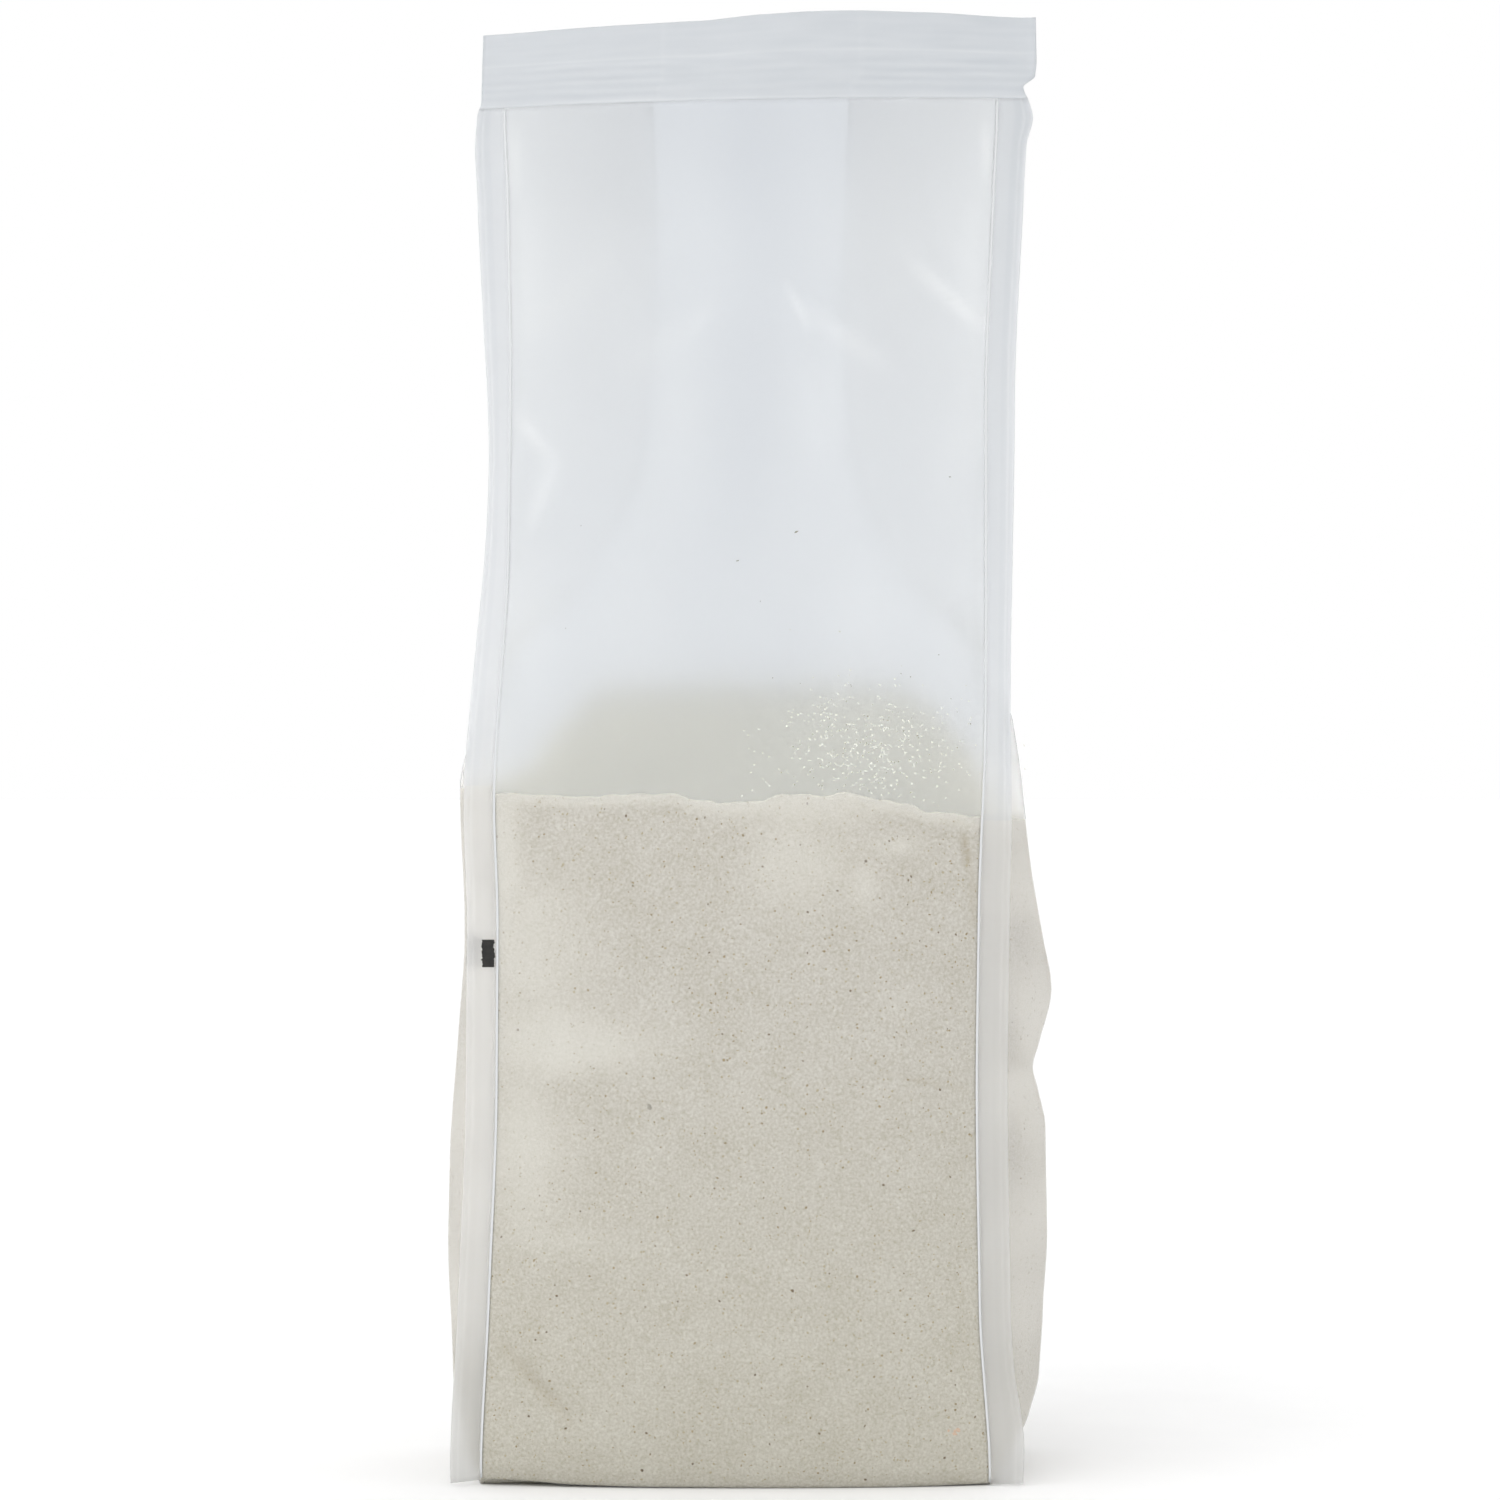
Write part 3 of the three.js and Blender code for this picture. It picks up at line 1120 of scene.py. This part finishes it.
    def build_panels(self, finishes: dict[Face, Material], pressed: Material) -> None:
        """Makes the front and back panels, clear above the flour and pressed on it below.

        Args:
            finishes: The clear film of each panel.
            pressed: Film that lies on the flour.
        """
        for face in Face:
            mesh = bmesh.new()
            add_sheet(mesh, partial(self.panel_point, face), self.panel_faces,
                      self.low_rows + self.high_rows, self.middle_rows,
                      {"slack": partial(self.panel_lift, face), "pale": partial(self.panel_pale, face)})
            piece = finish_piece(mesh, f"film_{face.name.lower()}", Slot.FILM, [finishes[face], pressed],
                                 thickness=self.thickness)
            if face is Face.FRONT:
                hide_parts(CAD_NODE)

    def gusset_point(self, side: Side, v: float, t: float) -> Vector:
        """Returns a point of a gusset of film."""
        z = self.height(self.flour.side_z(side, v), t)
        return self.bag.placed(*self.bag.gusset(side, v, z))

    def gusset_lift(self, side: Side, v: float, t: float) -> float:
        """Returns how far a gusset's film has lifted from the flour."""
        return self.flour.flank_lift(side, v, self.height(self.flour.side_z(side, v), t))

    def build_gussets(self, clear: Material, pressed: Material) -> None:
        """Makes the two side gussets.

        Args:
            clear: Clear film.
            pressed: Film that lies on the flour.
        """
        for side in Side:
            mesh = bmesh.new()
            add_sheet(mesh, partial(self.gusset_point, side), self.gusset_faces,
                      self.low_rows + self.high_rows, self.middle_rows,
                      {"slack": partial(self.gusset_lift, side), "pale": partial(even, 0.5)})
            finish_piece(mesh, f"film_gusset_{side.name.lower()}", Slot.FILM, [clear, pressed],
                         thickness=self.thickness)

    def base_point(self, u: float, v: float) -> Vector:
        """Returns a point of the film under the flour, spanned from its four edges.

        Args:
            u: From -1 at the left to 1 at the right.
            v: From -1 at the front to 1 at the back.

        Returns:
            The point.
        """
        ends = {face: [self.bag.panel(face, side.value, 0.0) for side in Side] for face in Face}
        across, deep = (u + 1.0) / 2.0, (v + 1.0) / 2.0
        point = self.bag.panel(Face.FRONT, u, 0.0).lerp(self.bag.panel(Face.BACK, u, 0.0), deep)
        point += self.bag.gusset(Side.LEFT, v, 0.0).lerp(self.bag.gusset(Side.RIGHT, v, 0.0), across)
        point -= ends[Face.FRONT][0].lerp(ends[Face.FRONT][1], across).lerp(
            ends[Face.BACK][0].lerp(ends[Face.BACK][1], across), deep)
        return Vector((point.x, point.y, self.thickness / 2.0 + self.bag.lift_at(point.x, point.y)))

    def build_base(self, pressed: Material) -> None:
        """Makes the film under the flour.

        Args:
            pressed: Film that lies on the flour.
        """
        mesh = bmesh.new()
        add_sheet(mesh, self.base_point, *self.base_faces, marks={"slack": partial(even, 0.1)})
        finish_piece(mesh, "film_base", Slot.FILM, [pressed], thickness=self.thickness)

    def fin_point(self, face: Face, side: Side, w: float, t: float) -> Vector:
        """Returns a point of a corner seal.

        Args:
            face: The panel that it belongs to.
            side: The side of the bag.
            w: From -1 beside the panel to 1 at the outer edge.
            t: From -1 at the base to 1 at the top seal.

        Returns:
            The point.
        """
        z = self.thickness + (self.bag.top_seal_z - self.thickness) * (t + 1.0) / 2.0
        share = (w + 1.0) / 2.0
        x = self.bag.seal_x(side, z) * (1.0 - share) + self.bag.tip_x(side, z) * share
        lines = ridge(share - 0.06, 0.04) + ridge(share - 0.78, 0.04) + ridge(share - 0.93, 0.03)
        emboss = self.emboss_height * lines
        sway = self.fin_sway * share * noise.noise(Vector((side.value * 3.0, face.value * 3.0, z * 0.03)))
        return self.bag.placed(x, face.value * (self.bag.half_depth.at(z) + emboss + sway), z)

    def fin_pale(self, side: Side, w: float, t: float) -> float:
        """Returns how pale a corner seal is: paler along the edges of its weld.

        Args:
            side: The side of the bag.
            w: From -1 beside the panel to 1 at the outer edge.
            t: From -1 at the base to 1 at the top seal.

        Returns:
            0 where it is dim, 1 where it is bright.
        """
        share = (w + 1.0) / 2.0
        z = self.bag.top_seal_z * (t + 1.0) / 2.0
        pale = (self.left_fin_brightness if side is Side.LEFT else self.right_fin_brightness).at(z)
        outer = smoothstep(0.45, 0.55, share)
        pale += 0.15 * ridge(share - 0.76, 0.03) + 0.15 * ridge(share - 0.96, 0.03) - 0.1 * outer
        return min(max(pale, 0.0), 1.0)

    def bead_point(self, face: Face, side: Side, w: float, t: float) -> Vector:
        """Returns a point of the raised line where a corner seal's weld begins.

        Args:
            face: The panel that it belongs to.
            side: The side of the bag.
            w: From -1 on the panel to 1 on the corner seal.
            t: From -1 at the base to 1 at the top seal.

        Returns:
            The point.
        """
        length = self.bag.top_seal_z - self.thickness - 2.0 * self.bead_margin
        z = self.thickness + self.bead_margin + length * (t + 1.0) / 2.0
        x = self.bag.seal_x(side, z) + side.value * (w * self.bead_width / 2.0 - self.bead_inset)
        stand_out = self.seal_thickness - 0.02 * w
        return self.bag.placed(x, face.value * (self.bag.half_depth.at(z) + stand_out), z)

    def build_corner_seals(self, welded: Material, floury: Material, bead: Material) -> None:
        """Makes the four corner seals, flat strips that stand out sideways from the panels.

        Args:
            welded: Welded film above the flour.
            floury: Welded film in front of the floury gussets.
            bead: The line where a weld begins.
        """
        for face in Face:
            for side in Side:
                mesh = bmesh.new()
                level = self.flour.side_z(side, 0.0) / self.bag.top_seal_z * 2.0 - 1.0
                add_sheet(mesh, partial(self.fin_point, face, side), self.fin_faces, self.seam_rows, level,
                          {"pale": partial(self.fin_pale, side)})
                name = f"{face.name.lower()}_{side.name.lower()}"
                finish_piece(mesh, f"corner_seal_{name}", Slot.FILM, [welded, floury],
                             thickness=self.seal_thickness)
                mesh = bmesh.new()
                add_sheet(mesh, partial(self.bead_point, face, side), self.bead_faces, self.seam_rows)
                finish_piece(mesh, f"weld_line_{name}", Slot.FILM, [bead], thickness=self.bead_thickness)

    def band_point(self, u: float, t: float) -> Vector:
        """Returns a point of the top seal, or of the free film above it.

        Args:
            u: From -1 at the left to 1 at the right.
            t: From -1 at its foot to 1 at its top.

        Returns:
            The point.
        """
        z = self.bag.top_seal_z + self.bag.band_height * (t + 1.0) / 2.0
        left, right = self.bag.tip_x(Side.LEFT, z), self.bag.tip_x(Side.RIGHT, z)
        x = (left + right) / 2.0 + u * (right - left) / 2.0
        up = (z - self.bag.top_seal_z) / self.bag.ribbed_height
        layers = self.fold_step * (smoothstep(-21.0, -25.0, x) + smoothstep(22.0, 26.0, x))
        rib = self.rib_depth * math.sin(math.pi * self.rib_count * up) ** 2 if up < 1.0 else 0.0
        wave = self.band_wave * noise.noise(Vector((x * 0.09, 4.0, z * 0.02))) * (t + 1.0) / 2.0
        return self.bag.placed(x, -rib * (0.4 + 5.0 * layers) - layers + wave, z)

    def band_pale(self, u: float, t: float) -> float:
        """Returns how pale the top seal is at a point: darker in the valleys of its ribs.

        Args:
            u: From -1 at the left to 1 at the right.
            t: From -1 at its foot to 1 at its top.

        Returns:
            0 where it is dim, 1 where it is bright, with painted light on the crests of its ribs and
            painted shade in their valleys.
        """
        z = self.bag.band_height * (t + 1.0) / 2.0
        x = u * 67.0
        up = z / self.bag.ribbed_height
        pale = 0.14 - 0.03 * u
        # Painted light on the ribs: brighter on their crests and darker in their valleys, more so outside
        # the gusset folds.
        if up < 1.0:
            strength = 0.1 if x < self.left_fold_x or x > self.right_fold_x else 0.04
            pale += strength * (math.sin(math.pi * self.rib_count * up) ** 2 - 0.6)
        pale += 0.12 * ridge(z - self.bag.ribbed_height, 0.5) + 0.2 * ridge(z - 0.4, 0.4)
        pale += 0.06 * (ridge(x - self.left_fold_x, 0.5) + ridge(x - self.right_fold_x, 0.5))
        pale += 0.08 * noise.noise(Vector((x * 0.08, z * 0.8, 1.0)))
        return min(max(pale, 0.0), 1.0)

    def build_top_seal(self, welded: Material) -> None:
        """Makes the ribbed heat seal and the free film above it.

        Args:
            welded: Welded film.
        """
        mesh = bmesh.new()
        add_sheet(mesh, self.band_point, *self.band_faces, marks={"pale": self.band_pale})
        finish_piece(mesh, "top_seal", Slot.FILM, [welded], thickness=self.seal_thickness)


@dataclass(frozen=True)
class Specks:
    """Flour dust and stray bran that cling to the front film above the flour.

    Each stray has its place across the bag, its height, its length and its turn in degrees.
    """

    film: Film
    dust_x: float = 29.0
    dust_z: float = 176.5
    dust_width: float = 12.0
    dust_height: float = 8.5
    flatness: float = 0.08
    strays: tuple[tuple[float, float, float, float], ...] = (
        (-3.1, 222.9, 0.9, 20.0), (11.2, 229.9, 1.5, 25.0), (48.6, 243.4, 0.8, 0.0),
        (38.5, 166.9, 0.8, 40.0), (-41.0, 231.5, 0.5, 70.0), (-44.5, 206.5, 0.45, 10.0),
        (2.5, 213.0, 0.45, 60.0))

    def place(self, x: float, z: float, length: float, width: float, turn: float) -> Matrix:
        """Returns where a speck lies flat on the front film.

        Args:
            x: Its place across the bag.
            z: Its height.
            length: Its size along its longer side.
            width: Its size along its shorter side.
            turn: How far it is turned, in degrees.

        Returns:
            The turn, size and place of a flake.
        """
        flat = Matrix.Translation(self.film.front_place(x, z)) @ Matrix.Rotation(math.pi / 2.0, 4, "X")
        turned = flat @ Matrix.Rotation(math.radians(turn), 4, "Z")
        return turned @ Matrix.Diagonal((length, width, self.flatness, 1.0))

    def build(self, dust: Material, bran: Material) -> None:
        """Lays the dust and the stray bits of bran on the film.

        Args:
            dust: The finish of pale flour dust.
            bran: The finish of the bran.
        """
        draw = random.Random(11)
        for grains, material in ((Grains("flour_dust", 420, 0.4, 0.7, 11), dust),
                                 (Grains("bran_dust", 110, 0.3, 0.5, 12), bran)):
            places = []
            while len(places) < grains.count:
                x = draw.gauss(self.dust_x, self.dust_width)
                z = draw.gauss(self.dust_z, self.dust_height)
                if z > self.film.flour.front_level.at(x) + 1.0:
                    length = draw.uniform(grains.smallest, grains.largest)
                    width = length * draw.uniform(0.5, 1.0)
                    places.append(self.place(x, z, length, width, draw.uniform(0.0, 180.0)))
            grains.lay(places, draw, material)
        strays = [self.place(x, z, length, length * 0.4, turn) for x, z, length, turn in self.strays]
        Grains("stray_bran", len(strays), 0.4, 1.5, 13).lay(strays, draw, bran)


@dataclass(frozen=True)
class CuttingMark:
    """The small black mark printed on the left front corner seal, which guides the cutter."""

    bag: BagForm
    left: float = -64.35
    right: float = -61.4
    low: float = 125.0
    high: float = 131.6
    trace_start: float = -0.75
    trace_length: float = 0.35
    stand_off: float = 0.36

    def point(self, u: float, t: float) -> Vector:
        """Returns a point of the mark, whose edges are a little ragged.

        Args:
            u: From -1 at the left to 1 at the right.
            t: From -1 at its foot to 1 at its top.

        Returns:
            The point, just off the corner seal.
        """
        z = self.low + (self.high - self.low) * (t + 1.0) / 2.0
        ragged = 1.0 + 0.3 * noise.noise(Vector((u * 0.4, z * 2.2, 0.0)))
        x = (self.left + self.right) / 2.0 + u * ragged * (self.right - self.left) / 2.0
        return Vector((x, -self.bag.half_depth.at(z) - self.stand_off, z))

    def trace_point(self, u: float, t: float) -> Vector:
        """Returns a point of the faint grey trace of the mark that runs on over the gusset.

        Args:
            u: From -1 at the front to 1 further back.
            t: From -1 at its foot to 1 at its top.

        Returns:
            The point, just off the gusset.
        """
        z = self.low - 0.6 + (self.high - self.low + 1.5) * (t + 1.0) / 2.0
        point = self.bag.gusset(Side.LEFT, self.trace_start + self.trace_length * (u + 1.0) / 2.0, z)
        return point - Vector((0.1, 0.06, 0.0))

    def build(self, ink: Material, trace: Material) -> None:
        """Makes the mark as a thin layer of ink on the film.

        Args:
            ink: The finish of the mark on the corner seal.
            trace: The finish of its trace on the gusset.
        """
        for name, place, material in (("cutting_mark", self.point, ink),
                                      ("cutting_mark_trace", self.trace_point, trace)):
            mesh = bmesh.new()
            add_sheet(mesh, place, 12, 30)
            finish_piece(mesh, name, Slot.PRINT, [material], thickness=0.03)


@dataclass(frozen=True)
class Studio:
    """A pale floor, soft light from everywhere, and the camera at the front of the bag."""

    camera_distance: float = 1.133
    camera_height: float = 0.1771
    lens: float = 110.0
    floor_size: float = 30.0
    key_strength: float = 0.7
    key_angle: float = 50.0

    def build_floor(self) -> None:
        """Makes the floor."""
        mesh = bmesh.new()
        bmesh.ops.create_grid(mesh, x_segments=1, y_segments=1, size=self.floor_size / 2.0)
        data = bpy.data.meshes.new("studio_floor")
        mesh.to_mesh(data)
        mesh.free()
        floor = bpy.data.objects.new("studio_floor", data)
        data.materials.append(PatchyFinish("studio_paper", "f6f6f6", "f8f8f8", 50.0).build())
        bpy.context.scene.collection.objects.link(floor)

    def build_light(self) -> None:
        """Makes the even white surroundings and one very soft light from the upper left."""
        world = bpy.data.worlds.new("studio")
        world.use_nodes = True
        background = world.node_tree.nodes["Background"]
        background.inputs["Color"].default_value = (1.0, 1.0, 1.0, 1.0)
        background.inputs["Strength"].default_value = 1.0
        bpy.context.scene.world = world
        data = bpy.data.lights.new("soft_key", "SUN")
        data.energy = self.key_strength
        data.angle = math.radians(self.key_angle)
        light = bpy.data.objects.new("soft_key", data)
        light.location = (-0.7, -0.7, 1.5)
        light.rotation_euler = Vector((0.45, 0.5, -0.75)).to_track_quat("-Z", "Y").to_euler()
        bpy.context.scene.collection.objects.link(light)

    def build_camera(self) -> None:
        """Makes the camera, level with the middle of the bag."""
        data = bpy.data.cameras.new("camera")
        data.lens = self.lens
        camera = bpy.data.objects.new("camera", data)
        camera.location = (0.0, -self.camera_distance, self.camera_height)
        camera.rotation_euler = (math.pi / 2.0, 0.0, 0.0)
        bpy.context.scene.collection.objects.link(camera)
        bpy.context.scene.camera = camera
        bpy.context.scene.view_settings.view_transform = "Standard"


def build_film(bag: BagForm, flour_form: FlourForm) -> None:
    """Makes the whole film and its printed mark.

    Args:
        bag: The shape of the bag.
        flour_form: The shape of the flour in it.
    """
    # Single sheets of cast polypropylene: clear enough to see through, grey against white.
    front = FilmFinish("cast_polypropylene_front", "e8eaec", "feffff").build()
    back = FilmFinish("cast_polypropylene_back", "dfe2e7", "feffff").build()
    side = FilmFinish("cast_polypropylene_gusset", "ffffff", "ffffff", clearness=0.97).build()
    # Two sheets welded together, less clear and whiter, and whiter still with flour behind them.
    welded = FilmFinish("welded_polypropylene", "d0d4d8", "ffffff", clearness=0.76).build()
    floury = FilmFinish("floury_welded_polypropylene", "dddddb", "ffffff", clearness=0.82).build()
    # Film wetted out by the flour that it lies on. On the gussets it lies looser, and is milkier.
    pressed = PressedFilmFinish("pressed_polypropylene").build()
    pressed_gusset = PressedFilmFinish("pressed_polypropylene_gusset", "fbfafc", veil=0.12).build()
    # The edge of a weld is a bead of melted film, which the eye sees as a fine pale line.
    bead = PressedFilmFinish("weld_line_polypropylene", tint="d6d8da", veil=1.0, lifted_veil=1.0).build()
    film = Film(bag, flour_form)
    film.build_panels({Face.FRONT: front, Face.BACK: back}, pressed)
    film.build_gussets(side, pressed_gusset)
    film.build_base(pressed)
    film.build_corner_seals(welded, floury, bead)
    film.build_top_seal(welded)
    # Dry dust, paler and darker than the haze behind it, seen as a fine sprinkle.
    dust = PatchyFinish("pale_flour_dust", "e2e3da", "eeeee6", 0.5).build()
    bran_dust = PatchyFinish("bran_dust", "969384", "aeab9d", 0.5).build()
    Specks(film).build(dust, bran_dust)
    # Printing ink, solid black on the seal, and a faint grey trace of the mark beside it on the gusset.
    ink = PatchyFinish("black_ink", "0c0c0a", "1d1b18", 1.0, 0.5).build()
    faint_trace = PressedFilmFinish("faint_black_trace", tint="202020", veil=0.14, lifted_veil=0.14).build()
    CuttingMark(bag).build(ink, faint_trace)


def build_flour(flour_form: FlourForm) -> None:
    """Makes the flour and the bran on it.

    Args:
        flour_form: The shape of the flour.
    """
    flour = Flour(flour_form).build(FlourFinish().build())
    # Dry flakes of grain husk: a few dark ones that catch the eye, and many that only tint the flour.
    dark = PatchyFinish("dark_bran", "54452f", "7d6a4c", 0.5).build()
    brown = PatchyFinish("brown_bran", "82724f", "9c8c69", 0.5).build()
    tan = PatchyFinish("tan_bran", "9f957a", "aea48a", 0.5).build()
    red = PatchyFinish("red_bran", "bfa088", "c9b09a", 0.8).build()
    grey = PatchyFinish("grey_bran", "8f8b80", "a19d92", 0.6).build()
    everywhere = Region()
    Grains("bran_dark", 340, 0.45, 1.0, 1).scatter(flour, everywhere, dark)
    Grains("bran_brown", 2300, 0.38, 0.9, 2).scatter(flour, everywhere, brown)
    Grains("bran_tan", 8000, 0.38, 0.85, 3).scatter(flour, everywhere, tan)
    Grains("bran_large", 1, 2.1, 2.2, 4).scatter(flour, Region(x=-22.7, z=92.2, radius=1.4), grey)
    Grains("bran_red", 5, 0.9, 1.7, 5).scatter(flour, Region(x=48.4, z=13.2, radius=1.6), red)


def main() -> None:
    """Builds the studio, the film, the flour and its bran."""
    studio = Studio()
    studio.build_camera()
    studio.build_light()
    studio.build_floor()
    bag = BagForm()
    flour_form = FlourForm(bag)
    build_film(bag, flour_form)
    build_flour(flour_form)


if __name__ == "__main__":
    main()
